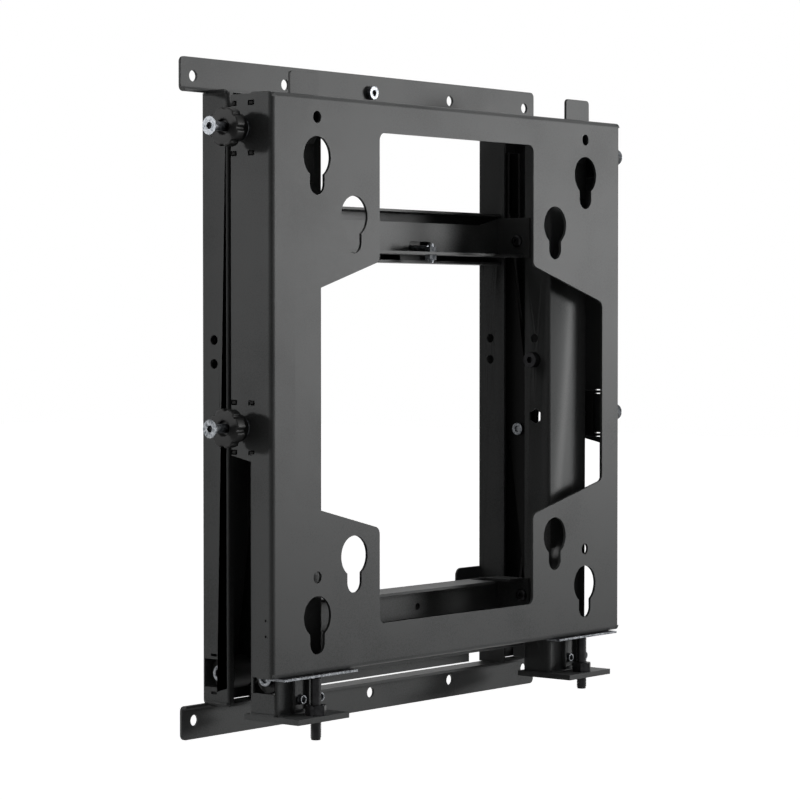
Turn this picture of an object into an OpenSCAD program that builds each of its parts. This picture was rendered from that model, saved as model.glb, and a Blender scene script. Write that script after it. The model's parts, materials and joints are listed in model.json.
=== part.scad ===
// Pop-out wall mount for one screen of a video wall, shown folded flat.
// X runs to the right, the wall is the plane y = 0, the screen side faces -Y and Z is up.
// The origin is the centre of the wall bolt pattern. All sizes are millimetres.

/* [Wall rails] */
// Length of the two wall rails
rail_w = 518; // [500:1:560]
// Height of a rail's flat leg
rail_leg = 31; // [28:0.5:40]
// Height between the inner edges of the two rails
rails_apart = 539.3; // [520:0.1:580]
// Distance from a rail's inner edge to its row of bolt holes
rail_row = 14.5; // [10:0.5:20]
// How far the rail's flange stands out from the wall
rail_flange = 26; // [14:0.5:27]
// Depth of the flange at the rail's ends, outside the uprights
rail_lip = 8; // [6:0.5:14]
// Diameter of the wall bolt holes
wall_hole_d = 10; // [6:0.5:12]
// Distance from a rail's end to its first bolt hole
rail_end = 16; // [12:0.5:24]
// Outer bend radius between a rail's flat leg and its flange
rail_bend_r = 5; // [3:0.5:6]
// Corner radius of the rails
rail_corner_r = 5; // [1:0.5:8]

/* [Sheet steel] */
// Thickness of the folded sheet
sheet = 2.5; // [1.5:0.1:3]
// Thickness of the two foot plates
foot_t = 5; // [4:0.5:8]
// Thickness of the zinc plated support plates
support_t = 2; // [1.5:0.25:4]
// Thickness of a scissor arm
arm_t = 4; // [3:0.25:5]

/* [Uprights] */
// Half the width over both uprights
channel_out = 230; // [222:0.5:240]
// Width of a wall upright
wall_channel_w = 59.5; // [56:0.5:64]
// Width of a carriage upright
carriage_channel_w = 60.5; // [57:0.5:66]
// Depth of a wall upright
wall_channel_d = 32; // [28:0.5:34]
// Width of the lip along the front of a wall upright's outer side
wall_lip = 6.5; // [3:0.5:7]
// Space between wall uprights and carriage uprights when folded
fold_gap = 26.3; // [24:0.1:34]
// Depth of a carriage upright
carriage_channel_d = 30.5; // [30:0.1:34]
// Top of the carriage uprights
carriage_top = 258; // [252:1:259]
// Bottom of the carriage uprights
carriage_bottom = -275; // [-290:1:-272]

/* [Scissor arms] */
// Height of the fixed upper pivots
pivot_top = 168; // [160:1:176]
// Height of the lower rollers when folded
roller_z = -243; // [-246:1:-232]
// Width of an arm
arm_w = 28; // [22:1:28]
// Diameter of the pivot pins
pin_d = 10; // [8:0.5:12]
// Diameter of the guide rollers
roller_d = 29; // [24:0.5:29]
// Length of a guide roller
roller_w = 26; // [18:1:28]

/* [Screen plate] */
// Width of the screen plate
plate_w = 518; // [505:1:540]
// Height of the screen hole pattern's centre
vesa_z = -12; // [-20:0.5:-4]
// Plate height above the pattern's centre
plate_above = 276.8; // [272:0.2:290]
// Plate height below the pattern's centre
plate_below = 226.6; // [224:0.1:232]
// Space between the carriage uprights and the back of the screen plate
plate_gap = 18; // [16:0.5:24]
// Outer bend radius of the plate's folds
bend_r = 4.5; // [3:0.5:6]
// Depth of the side folds above the step
side_deep = 47.2; // [44:0.2:50]
// Depth of the side folds below the step
side_shallow = 22.5; // [18:0.5:28]
// Depth of the top fold
top_fold = 25; // [14:0.5:27]
// Depth of the bottom fold
bottom_fold = 19; // [14:0.5:19.5]
// Square hole pattern of the outer keyholes
vesa_outer = 400; // [400:1:404]
// Square hole pattern of the inner keyholes
vesa_inner = 300; // [296:1:300]
// Radius of a keyhole's slot
key_slot_r = 9.7; // [6:0.1:10]
// Radius of a keyhole's round
key_round_r = 18; // [14:0.5:19]
// Height of the round's centre above the slot's
key_rise = 23.2; // [18:0.2:24]
// Diameter of the four small holes
small_hole_d = 10.5; // [6:0.5:12]
// Height of a small hole above its keyhole slot
small_hole_rise = 57.6; // [52:0.2:62]

/* [Central opening] */
// Half width of the tall part
opening_narrow = 115; // [100:1:118]
// Half width of the middle part
opening_wide = 229; // [200:1:232]
// Top of the opening above the pattern's centre
opening_top = 248.5; // [230:0.5:252]
// Bottom of the opening below the pattern's centre
opening_bottom = 190; // [180:0.5:196]
// Corner radius of the opening
opening_r = 7; // [3:0.5:10]

/* [Fine adjustment] */
// Nominal diameter of the adjusting screws
screw_d = 8; // [6:0.5:8]
// Height of the upper side screws
side_screw_top = 234.3; // [226:0.1:238]
// Height of the lower side screws
side_screw_low = -23; // [-30:0.5:-16]
// Outer face of a side screw's head
side_screw_end = 300.5; // [298:0.5:306]
// Outer diameter of a star knob
knob_d = 34.5; // [30:0.5:36]
// Number of lobes of a star knob
knob_lobes = 8; // [6:1:10]
// Nominal diameter of the jack screws
jack_d = 10; // [8:1:12]
// Distance of the jack screws from the middle
jack_x = 199; // [196:0.5:203]
// Width of a foot plate
foot_w = 68; // [62:1:72]
// Width of a support plate
support_w = 97; // [90:1:100]

/* [Fits] */
// Running clearance of a pin in its bore, on the radius
run_fit = 0.05; // [0.02:0.01:0.08]
// Gap between parts that slide or roll on each other
slide_gap = 0.3; // [0.3:0.05:0.4]

/* [Hidden] */
$fn = 48;

// Colours as the photograph shows them
c_steel = "#4e4e4e";
c_dark = "#2c2c2c";
c_zinc = "#c9cbcc";
c_knob = "#1d1d1d";
c_nylon = "#161616";

// Depths from the wall
carriage_back = wall_channel_d + fold_gap;
carriage_front = carriage_back + carriage_channel_d;
plate_back = carriage_front + plate_gap;
plate_front = plate_back + sheet;

// Inner faces of the uprights
wall_channel_in = channel_out - wall_channel_w;
carriage_channel_in = channel_out - carriage_channel_w;

// Rails
rail_in = rails_apart / 2;
rail_out = rail_in + rail_leg;
bolt_row_z = rail_in + rail_row;
wall_hole_pitch = (rail_w / 2 - rail_end) / 2;

// Nuts and bolt heads
nut_af = 13;
nut_h = 6.5;
cap_head = [15, 8];

// Scissor: the rollers run on the webs of the uprights, and the pivots lie in line with them
wall_pin_d = sheet + roller_d / 2 + slide_gap;
carriage_pin_d = carriage_front - sheet - roller_d / 2 - slide_gap;
centre_d = (wall_pin_d + carriage_pin_d) / 2;
centre_z = (pivot_top + roller_z) / 2;
arm_run = carriage_pin_d - wall_pin_d;
arm_rise = pivot_top - roller_z;
arm_len = sqrt(arm_run * arm_run + arm_rise * arm_rise);
arm_tilt = atan(arm_run / arm_rise);
ear_t = 3;
ear_gap = 2;
arm_gap = 2;
ear_in = carriage_channel_in + sheet + 3;
long_arm_x = ear_in + ear_t + ear_gap;
lift_arm_x = long_arm_x + arm_t + arm_gap;
ear_out = lift_arm_x + arm_t + ear_gap;
ear_reach = 33;
roller_x = lift_arm_x + arm_t + 6;
shaft_end = channel_out - sheet - 0.4;
washer_t = 2.5;
ring_d = 14.6;

// Crossbars of the carriage, which nest in front of the wall frame's own
bar_back = wall_channel_d - 7.2;
bar_tab_out = carriage_channel_in;
upper_bar_z = 131.5;
bar_h = 31;
upper_bar_tab_top = 170;
upper_bar_raised_from = 138;
lower_bar_z = -183.5;
bottom_bar_z = -247.6;
bottom_bar_h = 16.5;
bar_tab_reach = carriage_back + 6.5;
bar_flange_half = 121;
bar_lip_from = 145;
upper_bolt = [51.2, 147.4];
lower_bolt = [57, -200.4];
lug_reach = 16;
lug_half = 13;

// Wall crossbars
upper_wall_bar_z = 124.2;
upper_wall_bar_h = 50.2;
upper_wall_bar_d = bar_back + 3.2;
lower_wall_bar_z = -238;
lower_wall_bar_h = 48;
lower_wall_bar_d = 14;
gusset_from = 133;
gusset_top = -175;

// Touch latch
striker = [31, 51];
striker_d = 6;
striker_nut = [10, 5];
striker_past = 3;
latch_x = 34;
latch_w = 30;
plunger_d = 6;
plunger_collar = 12;
latch_z = upper_bar_z + sheet + plunger_d / 2 + 0.75;
latch_top = latch_z + 14;
plunger_tip = striker[1] - striker_nut[0] / 2 - slide_gap;
latch_back = sheet;
latch_front = bar_back - slide_gap - 1.2;
spring_wire = 1.2;
spring_turns = 5;
notch_from = 27;
notch_to = 62;
notch_top = upper_bar_z + 13;

// Windows at the foot of the uprights, and their pairs of holes
window_half = 12.5;
window_z = roller_z + 0.3;
mark_z = [window_z + window_half + 3.6, window_z - window_half - 5];
pair_z = [52, 31];
pair_d = 8.7;
wall_pair_depth = 14.8;
carriage_pair_depth = 70;
hex_hole = [70.9, -24.3, 13];

// Screen plate
plate_half = plate_w / 2;
plate_top = vesa_z + plate_above;
plate_low = vesa_z - plate_below;
step_z = vesa_z - 35;
step_drop = 5.5;
relief = 1.2;
foot_marks = [50.6, 36.9];
side_screw_depth = plate_front - 34;
tab_slot = [7.4, 4.5];
tab_w = 4;
tab_half_d = 10.1;
tab_half_z = 21.5;

// Guide tabs at the top of the carriage
guide_from = 184;
guide_to = 222.3;
guide_front = plate_back - 9.3;
guide_top = 285.4;
guide_foot = 190;
guide_joggle = [224, 232];
guide_back_rise = 1.5;
guide_slot_play = 7.5;

// Feet
foot_top = carriage_bottom;
foot_front = plate_front + 7;
foot_back = carriage_back - 5;
foot_in = jack_x - foot_w / 2 + 0.5;
jack_depth = plate_front - 3;
jack_nut_af = 17;
jack_nut_h = 9;
support_top = plate_low - slide_gap;
support_low = support_top - support_t;
support_front = plate_front + 4.8;
support_back = plate_front - 12;
support_in = jack_x + 0.7 - support_w / 2;
spigot_d = 7;
jack_past = [16.7, 11.7];
bracket_x = [190, 213];
bracket_z = [foot_top + 1.5, support_low - 1.6];
bracket_d = 4;
bracket_r = 4;
lock_z = foot_top + 12.4;
lock_d = 9;
lock_front = carriage_front + 4.5;
lock_pitch = 24;

// Side adjusters
tip_x = channel_out + slide_gap;
head_d = 16;
head_rim = 0.6;
head_cone = 4.4;
washer_d = 18;
washer_h = 1.6;
knob_front = 283.5;
knob_rear = plate_half + washer_h + slide_gap;
knob_neck = [15, 264.5];
knob_skirt = [25, 273];
knob_recess = [14, 3];
adj_web = plate_half - sheet - 13.5;
adj_half = tab_half_d + 3;
adj_screw_z = [side_screw_top, side_screw_low];

// A block between two x, two depths from the wall and two heights
module slab(x0, x1, d0, d1, z0, z1) {
    translate([x0, -d1, z0]) cube([x1 - x0, d1 - d0, z1 - z0]);
}

// A round bar along X, along the depth, or upright
module bar_x(x0, x1, depth, z, d) {
    translate([x0, -depth, z]) rotate([0, 90, 0]) cylinder(d = d, h = x1 - x0);
}
module bar_d(x, d0, d1, z, d) {
    translate([x, -d0, z]) rotate([90, 0, 0]) cylinder(d = d, h = d1 - d0);
}
module bar_z(x, depth, z0, z1, d) {
    translate([x, -depth, z0]) cylinder(d = d, h = z1 - z0);
}

// Hexagon prisms across flats af
module hex_x(x0, x1, depth, z, af) {
    translate([x0, -depth, z]) rotate([0, 90, 0])
        cylinder(d = af / cos(30), h = x1 - x0, $fn = 6);
}
module hex_d(x, d0, d1, z, af) {
    translate([x, -d0, z]) rotate([90, 0, 0]) cylinder(d = af / cos(30), h = d1 - d0, $fn = 6);
}
module hex_z(x, depth, z0, z1, af) {
    translate([x, -depth, z0]) cylinder(d = af / cos(30), h = z1 - z0, $fn = 6);
}

// Children are modelled on the right and mirrored for the left
module on_side(side) {
    if (side > 0) children();
    else mirror([1, 0, 0]) children();
}
module both_sides() {
    children();
    mirror([1, 0, 0]) children();
}

// Rounded outline: every corner of a polygon is replaced by an arc of radius r
function unit(v) = v / norm(v);
function arc_at(p, a, b, r, n = 5) =
    let (u = unit(a - p), v = unit(b - p), half = acos(u * v) / 2,
         c = p + unit(u + v) * r / sin(half),
         s = p + u * r / tan(half) - c, e = p + v * r / tan(half) - c,
         a0 = atan2(s[1], s[0]), turn = atan2(s[0] * e[1] - s[1] * e[0], s * e))
    [for (i = [0:n]) c + r * [cos(a0 + turn * i / n), sin(a0 + turn * i / n)]];
function rounded(pts, r) = let (n = len(pts))
    [for (i = [0:n - 1]) each arc_at(pts[i], pts[(i + n - 1) % n], pts[(i + 1) % n], r)];

// A flat sheet seen from the front, x across and z up, between two depths
module front_sheet(pts, d0, d1) {
    translate([0, -d0, 0]) rotate([90, 0, 0]) linear_extrude(d1 - d0) polygon(pts);
}
// A sheet seen from the side, depth and z, between two x
module side_sheet(pts, x0, x1) {
    translate([x0, 0, 0]) rotate([90, 0, 90]) linear_extrude(x1 - x0)
        polygon([for (p = pts) [-p[0], p[1]]]);
}

// WALL FRAME

// The folded edge of a rail: a bend and the flange that stands out from the wall
module rail_fold(half, depth) {
    r = rail_bend_r;
    translate([-half, 0, rail_in]) rotate([90, 0, 90]) linear_extrude(2 * half) {
        difference() {
            translate([-r, r]) circle(r);
            translate([-r, r]) circle(r - sheet);
            translate([-2 * r - 1, -1]) square([r + 1, 2 * r + 2]);
            translate([-2 * r - 1, r]) square([2 * r + 2, r + 1]);
        }
        translate([-depth, 0]) square([depth - r, sheet]);
    }
}

// One rail: a flat leg with rounded outer corners and a flange along its inner edge
module rail(up) {
    color(c_steel) mirror([0, 0, up ? 0 : 1]) difference() {
        union() {
            slab(-rail_w / 2, rail_w / 2, 0, sheet, rail_in + rail_bend_r,
                 rail_out - rail_corner_r);
            slab(-rail_w / 2 + rail_corner_r, rail_w / 2 - rail_corner_r, 0, sheet,
                 rail_in + rail_bend_r, rail_out);
            for (s = [-1, 1])
                bar_d(s * (rail_w / 2 - rail_corner_r), 0, sheet, rail_out - rail_corner_r,
                      2 * rail_corner_r);
            rail_fold(rail_w / 2, rail_lip);
            slab(-channel_out + 2, channel_out - 2, rail_lip, rail_flange, rail_in,
                 rail_in + sheet);
        }
        for (i = [-2:2]) bar_d(i * wall_hole_pitch, -1, sheet + 1, bolt_row_z, wall_hole_d);
    }
}
module top_wall_rail() { rail(true); }
module bottom_wall_rail() { rail(false); }

// A wall upright: a channel open to the front, with a window in its outer side at the roller
module wall_channel(side) {
    color(c_steel) on_side(side) difference() {
        slab(wall_channel_in, channel_out, 0, wall_channel_d, -rail_in, rail_in);
        slab(wall_channel_in + sheet, channel_out - sheet, sheet, wall_channel_d - sheet,
             -rail_in - 1, rail_in + 1);
        slab(wall_channel_in + sheet, channel_out - wall_lip, sheet, wall_channel_d + 1,
             -rail_in - 1, rail_in + 1);
        slab(channel_out - sheet - 1, channel_out + 1, sheet + 0.5, wall_channel_d - sheet,
             window_z - window_half, window_z + window_half);
        for (z = pair_z) bar_x(wall_channel_in - 1, channel_out + 1, wall_pair_depth, z, pair_d);
        for (z = mark_z)
            slab(channel_out - sheet - 1, channel_out + 1, 10.5, 17.5, z - 1.2, z + 1.2);
    }
}
module left_wall_channel() { wall_channel(-1); }
module right_wall_channel() { wall_channel(1); }

// Upper wall crossbar: a channel open to the front between the uprights
module upper_wall_crossbar() {
    z0 = upper_wall_bar_z;
    z1 = z0 + upper_wall_bar_h;
    color(c_dark) difference() {
        slab(-wall_channel_in, wall_channel_in, 0, upper_wall_bar_d, z0, z1);
        slab(-wall_channel_in - 1, wall_channel_in + 1, sheet, upper_wall_bar_d + 1,
             z0 + sheet, z1 - sheet);
    }
}

// Lower wall crossbar: a shallower channel with a rounded gusset at each end
module lower_wall_crossbar() {
    z0 = lower_wall_bar_z;
    z1 = z0 + lower_wall_bar_h;
    color(c_dark) {
        difference() {
            slab(-wall_channel_in, wall_channel_in, 0, lower_wall_bar_d, z0, z1);
            slab(-wall_channel_in - 1, wall_channel_in + 1, sheet, lower_wall_bar_d + 1,
                 z0 + sheet, z1 - sheet);
        }
        both_sides() {
            slab(gusset_from, wall_channel_in, 0, sheet, z1 - sheet, gusset_top - opening_r);
            slab(gusset_from + opening_r, wall_channel_in, 0, sheet, z1 - sheet, gusset_top);
            bar_d(gusset_from + opening_r, 0, sheet, gusset_top - opening_r, 2 * opening_r);
        }
    }
}

// A pivot bracket: a base plate welded to an upright's web, with two ears for the pin
module pivot_bracket(web, reach, pin_depth) {
    z0 = pivot_top - 27;
    z1 = pivot_top + 67;
    lo = min(web, reach);
    hi = max(web, reach);
    base = web < reach ? [web, web + ear_t] : [web - ear_t, web];
    difference() {
        union() {
            slab(ear_in, ear_out + ear_t, base[0], base[1], z0, z1);
            for (x = [ear_in, ear_out]) slab(x, x + ear_t, lo, hi, z0, z1);
        }
        bar_x(ear_in - 1, ear_out + ear_t + 1, pin_depth, pivot_top, pin_d);
        // the arm turns clear of the base plate
        slab(ear_in + ear_t, ear_out, base[0] - 1, base[1] + 1, z0 - 1, pivot_top + arm_w / 2 + 3);
    }
}
module wall_pivot_brackets() {
    color(c_dark) both_sides() pivot_bracket(sheet, ear_reach, wall_pin_d);
}
module carriage_pivot_brackets() {
    color(c_dark) both_sides()
        pivot_bracket(carriage_front - sheet, carriage_back + 2, carriage_pin_d);
}

// A pivot pin: a shank through both ears, with a head and a ring on its ends
module pivot_pin(depth) {
    bar_x(wall_channel_in + sheet + slide_gap, ear_in, depth, pivot_top, pin_d + 5);
    bar_x(ear_in, ear_out + ear_t + 2, depth, pivot_top, pin_d);
    difference() {
        bar_x(ear_out + ear_t, ear_out + ear_t + 1.5, depth, pivot_top, pin_d + 4);
        bar_x(ear_out, ear_out + ear_t + 3, depth, pivot_top, pin_d);
    }
}
module wall_pivot_pins() { color(c_zinc) both_sides() pivot_pin(wall_pin_d); }
module carriage_pivot_pins() { color(c_zinc) both_sides() pivot_pin(carriage_pin_d); }

// The screw on which the frame is first hung, in the middle hole of the top rail
module hanging_screw() {
    color(c_zinc) difference() {
        union() {
            bar_d(0, sheet, sheet + 5, bolt_row_z, wall_hole_d + 3);
            bar_d(0, 0, sheet, bolt_row_z, wall_hole_d - 1);
        }
        hex_d(0, sheet + 2, sheet + 6, bolt_row_z, 5);
    }
}

// TOUCH LATCH

// The latch case stands on the web of the upper wall crossbar
module latch_case() {
    color(c_knob) difference() {
        slab(latch_x - latch_w / 2, latch_x + latch_w / 2, latch_back, latch_front,
             upper_wall_bar_z + sheet, latch_top);
        bar_d(latch_x, latch_back + 2, latch_front - 2, latch_z, plunger_collar + 1);
        bar_d(latch_x, latch_back + 2, latch_front + 1, latch_z, plunger_d + 2 * run_fit);
    }
}
collar_front = latch_front - 2 - slide_gap;
collar_back = collar_front - 2.5;
module latch_plunger() {
    color(c_zinc) {
        bar_d(latch_x, collar_back, collar_front, latch_z, plunger_collar);
        bar_d(latch_x, collar_front, plunger_tip, latch_z, plunger_d);
    }
}

// The coil spring behind the plunger: one wire swept along a helix
spring_r = 4;
spring_sides = 6;
spring_steps = 8;
spring_from = latch_back + 2 + spring_wire / 2 + slide_gap;
spring_to = collar_back - spring_wire / 2 - slide_gap;
function spring_point(t) = let (a = 360 * spring_turns * t)
    [latch_x + spring_r * cos(a), -(spring_from + (spring_to - spring_from) * t),
     latch_z + spring_r * sin(a)];
function spring_ring(t) = let (a = 360 * spring_turns * t, out = [cos(a), 0, sin(a)])
    [for (k = [0:spring_sides - 1]) let (b = 360 * k / spring_sides)
        spring_point(t) + spring_wire / 2 * (cos(b) * out + sin(b) * [0, 1, 0])];
module latch_spring() {
    n = spring_turns * spring_steps;
    m = spring_sides;
    pts = [for (i = [0:n]) each spring_ring(i / n)];
    faces = concat(
        [[for (k = [0:m - 1]) k]],
        [for (i = [0:n - 1], k = [0:m - 1])
            each [[i * m + k, (i + 1) * m + k, (i + 1) * m + (k + 1) % m],
                  [i * m + k, (i + 1) * m + (k + 1) % m, i * m + (k + 1) % m]]],
        [[for (k = [m - 1:-1:0]) n * m + k]]);
    color(c_zinc) polyhedron(pts, faces);
}

// SCISSOR ARMS

// One arm lying between two pivots, seen from the side; holes is a list of [position, diameter]
module arm(x, d0, z0, d1, z1, holes) {
    run = d1 - d0;
    rise = z1 - z0;
    long = sqrt(run * run + rise * rise);
    translate([x, -d0, z0]) rotate([-atan2(run, -rise), 0, 0]) difference() {
        union() {
            translate([0, -arm_w / 2, -long]) cube([arm_t, arm_w, long]);
            for (z = [0, -long]) translate([0, 0, z]) rotate([0, 90, 0])
                cylinder(d = arm_w, h = arm_t);
        }
        for (h = holes) translate([-1, 0, -long * h[0]]) rotate([0, 90, 0])
            cylinder(d = h[1], h = arm_t + 2);
    }
}
pin_bore = pin_d + 2 * run_fit;
module long_arm(side) {
    color(c_dark) on_side(side)
        arm(long_arm_x, wall_pin_d, pivot_top, carriage_pin_d, roller_z,
            [[0, pin_bore], [0.5, pin_d], [1, pin_d]]);
}
module lift_arm(side) {
    color(c_dark) on_side(side)
        arm(lift_arm_x, carriage_pin_d, pivot_top, wall_pin_d, roller_z,
            [[0, pin_bore], [0.5, pin_bore], [1, pin_d]]);
}
module left_long_arm() { long_arm(-1); }
module right_long_arm() { long_arm(1); }
module left_lift_arm() { lift_arm(-1); }
module right_lift_arm() { lift_arm(1); }

// The pins where the two arms cross: head, shank with a spacer, and a ring outside
module centre_pivot(side) {
    color(c_zinc) on_side(side) {
        difference() {
            bar_x(long_arm_x - 4.5, long_arm_x, centre_d, centre_z, 12);
            bar_x(long_arm_x - 5.5, long_arm_x - 2.5, centre_d, centre_z, 6);
        }
        bar_x(long_arm_x, lift_arm_x + arm_t + 2.5, centre_d, centre_z, pin_d);
        difference() {
            bar_x(long_arm_x + arm_t, lift_arm_x - slide_gap, centre_d, centre_z, pin_d + 5);
            bar_x(long_arm_x, lift_arm_x + 1, centre_d, centre_z, pin_d);
        }
        difference() {
            bar_x(lift_arm_x + arm_t + slide_gap, lift_arm_x + arm_t + 2, centre_d, centre_z,
                  pin_d + 5);
            bar_x(lift_arm_x, lift_arm_x + arm_t + 3, centre_d, centre_z, pin_d);
        }
    }
}

module left_centre_pivot() { centre_pivot(-1); }
module right_centre_pivot() { centre_pivot(1); }

// A roller shaft: it is riveted in its arm and carries a bright ring at its outer end
module roller_shaft(arm_x, depth) {
    bar_x(arm_x - 2.5, arm_x, depth, roller_z, pin_d + 5);
    difference() {
        union() {
            bar_x(arm_x, shaft_end, depth, roller_z, pin_d);
            bar_x(shaft_end - washer_t, shaft_end, depth, roller_z, ring_d);
        }
        hex_x(shaft_end - 3, shaft_end + 1, depth, roller_z, 8);
    }
    difference() {
        bar_x(arm_x + arm_t, roller_x - slide_gap, depth, roller_z, pin_d + 6);
        bar_x(arm_x, roller_x + 1, depth, roller_z, pin_d);
    }
}
module front_roller_shaft(side) {
    color(c_zinc) on_side(side) roller_shaft(long_arm_x, carriage_pin_d);
}
module wall_roller_shaft(side) {
    color(c_zinc) on_side(side) roller_shaft(lift_arm_x, wall_pin_d);
}
module left_front_roller_shaft() { front_roller_shaft(-1); }
module right_front_roller_shaft() { front_roller_shaft(1); }
module left_wall_roller_shaft() { wall_roller_shaft(-1); }
module right_wall_roller_shaft() { wall_roller_shaft(1); }
module roller(side, depth) {
    color(c_nylon) on_side(side) difference() {
        union() {
            bar_x(roller_x, roller_x + roller_w, depth, roller_z, roller_d - 2);
            bar_x(roller_x + 1, roller_x + roller_w - 1, depth, roller_z, roller_d);
        }
        bar_x(roller_x - 1, roller_x + roller_w + 1, depth, roller_z, pin_bore);
    }
}
module left_front_roller() { roller(-1, carriage_pin_d); }
module right_front_roller() { roller(1, carriage_pin_d); }
module left_wall_roller() { roller(-1, wall_pin_d); }
module right_wall_roller() { roller(1, wall_pin_d); }

// CARRIAGE

// A carriage upright: a channel open to the wall, with lugs for the crossbars
module carriage_channel(side) {
    color(c_dark) on_side(side) difference() {
        union() {
            slab(carriage_channel_in, channel_out, carriage_back, carriage_front,
                 carriage_bottom, carriage_top);
            for (b = [upper_bolt, lower_bolt])
                slab(carriage_channel_in, carriage_channel_in + sheet,
                     carriage_back - lug_reach, carriage_back, b[1] - lug_half, b[1] + lug_half);
        }
        slab(carriage_channel_in + sheet, channel_out - sheet, carriage_back - 1,
             carriage_front - sheet, carriage_bottom - 1, carriage_top + 1);
        slab(channel_out - sheet - 1, channel_out + 1, carriage_back + sheet,
             carriage_front - sheet, window_z - window_half - 1, window_z + window_half);
        for (z = pair_z)
            bar_x(carriage_channel_in - 1, carriage_channel_in + sheet + 1,
                  carriage_pair_depth, z, pair_d);
        hex_x(carriage_channel_in - 1, carriage_channel_in + sheet + 1,
              hex_hole[0], hex_hole[1], hex_hole[2]);
        for (b = [upper_bolt, lower_bolt])
            bar_x(carriage_channel_in - 1, carriage_channel_in + sheet + 1, b[0], b[1], 8);
        // the threaded holes of the lock screws
        for (x = lock_x(side))
            bar_d(x, carriage_front - sheet - 1, carriage_front + 1, lock_z, lock_d);
    }
}
// The two lock screws of a foot; both feet have the second one towards +X
function lock_x(side) = side > 0 ? [jack_x + 1, jack_x + 1 + lock_pitch]
                                 : [jack_x + 1, jack_x + 1 - lock_pitch];
module left_carriage_channel() { carriage_channel(-1); }
module right_carriage_channel() { carriage_channel(1); }

// The end tab of a crossbar, which lies on the inside of a carriage upright
module bar_tab(z0, z1, bolt) {
    difference() {
        slab(bar_tab_out - sheet, bar_tab_out, bar_back, bar_tab_reach, z0, z1);
        bar_x(bar_tab_out - sheet - 1, bar_tab_out + 1, bolt[0], bolt[1], 8);
    }
}

// Upper crossbar of the carriage: web, lower flange, raised ends and a notch for the latch
module upper_carriage_crossbar() {
    z0 = upper_bar_z;
    color(c_steel) {
        difference() {
            front_sheet([[-bar_tab_out, z0], [bar_tab_out, z0],
                         [bar_tab_out, upper_bar_tab_top],
                         [upper_bar_raised_from, z0 + bar_h],
                         [-upper_bar_raised_from, z0 + bar_h], [-bar_tab_out, upper_bar_tab_top]],
                        bar_back, bar_back + sheet);
            front_sheet(rounded([[notch_from, z0 + sheet], [notch_to, z0 + sheet],
                                 [notch_to, notch_top], [notch_from, notch_top]], 4),
                        bar_back - 1, bar_back + sheet + 1);
        }
        difference() {
            slab(-bar_flange_half, bar_flange_half, bar_back, carriage_back, z0, z0 + sheet);
            bar_z(striker[0], striker[1], z0 - 1, z0 + sheet + 1, striker_d);
        }
        both_sides() {
            bar_tab(z0, upper_bar_tab_top, upper_bolt);
            slab(bar_lip_from, bar_tab_out, bar_back, carriage_back, z0, z0 + sheet);
        }
    }
}

// Lower crossbar of the carriage: the same section turned over
module lower_carriage_crossbar() {
    z1 = lower_bar_z;
    color(c_steel) {
        difference() {
            slab(-bar_tab_out, bar_tab_out, bar_back, bar_back + sheet, z1 - bar_h, z1);
            bar_d(40.2, bar_back - 1, bar_back + sheet + 1, z1 - 20.4, 7);
        }
        slab(-bar_flange_half, bar_flange_half, bar_back, carriage_back, z1 - sheet, z1);
        both_sides() {
            bar_tab(z1 - bar_h, z1, lower_bolt);
            slab(bar_lip_from, bar_tab_out, bar_back, carriage_back, z1 - sheet, z1);
        }
    }
}

// Bottom crossbar of the carriage: a low angle just behind the screen plate's lower edge
module bottom_carriage_crossbar() {
    z1 = bottom_bar_z;
    color(c_steel) {
        slab(-bar_flange_half, bar_flange_half, bar_back, bar_back + sheet,
             z1 - bottom_bar_h, z1);
        slab(-bar_tab_out, bar_tab_out, bar_back, carriage_back, z1 - sheet, z1);
        both_sides()
            slab(bar_tab_out - sheet, bar_tab_out, carriage_back - 12, carriage_back + 2.3,
                 z1 - bottom_bar_h + 2, z1);
    }
}

// The shank of a bolt through an upright's inner side, with a flat nut behind it
module side_shank(depth, z, inner) {
    bar_x(inner, bar_tab_out + sheet, depth, z, 8);
    hex_x(bar_tab_out + sheet, bar_tab_out + sheet + 2.6, depth, z, nut_af);
}
// Button head bolts that hold the crossbars
module crossbar_bolts() {
    inner = bar_tab_out - sheet;
    color(c_knob) both_sides() for (b = [upper_bolt, lower_bolt]) {
        difference() {
            union() {
                bar_x(inner - 2, inner, b[0], b[1], 12);
                bar_x(inner - 3.6, inner - 2, b[0], b[1], 8);
            }
            hex_x(inner - 4.6, inner - 1.6, b[0], b[1], 4);
        }
        side_shank(b[0], b[1], inner);
    }
}
// Cap head bolts in the lower hole of each pair of the carriage uprights
module upright_bolts() {
    color(c_knob) both_sides() {
        difference() {
            bar_x(bar_tab_out - cap_head[1], bar_tab_out, carriage_pair_depth, pair_z[1],
                  cap_head[0]);
            hex_x(bar_tab_out - cap_head[1] - 1, bar_tab_out - cap_head[1] / 2,
                  carriage_pair_depth, pair_z[1], 6);
        }
        side_shank(carriage_pair_depth, pair_z[1], bar_tab_out);
    }
}

// The striker bolt stands through the flange of the upper crossbar, with a nut on each side
module striker_bolt() {
    past = striker_nut[1] + striker_past;
    color(c_zinc) bar_z(striker[0], striker[1], upper_bar_z - past, upper_bar_z + sheet + past,
                        striker_d);
}
module striker_nuts() {
    h = striker_nut[1];
    color(c_zinc) for (z = [upper_bar_z - h, upper_bar_z + sheet]) difference() {
        hex_z(striker[0], striker[1], z, z + h, striker_nut[0]);
        bar_z(striker[0], striker[1], z - 1, z + h + 1, striker_d);
    }
}

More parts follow.
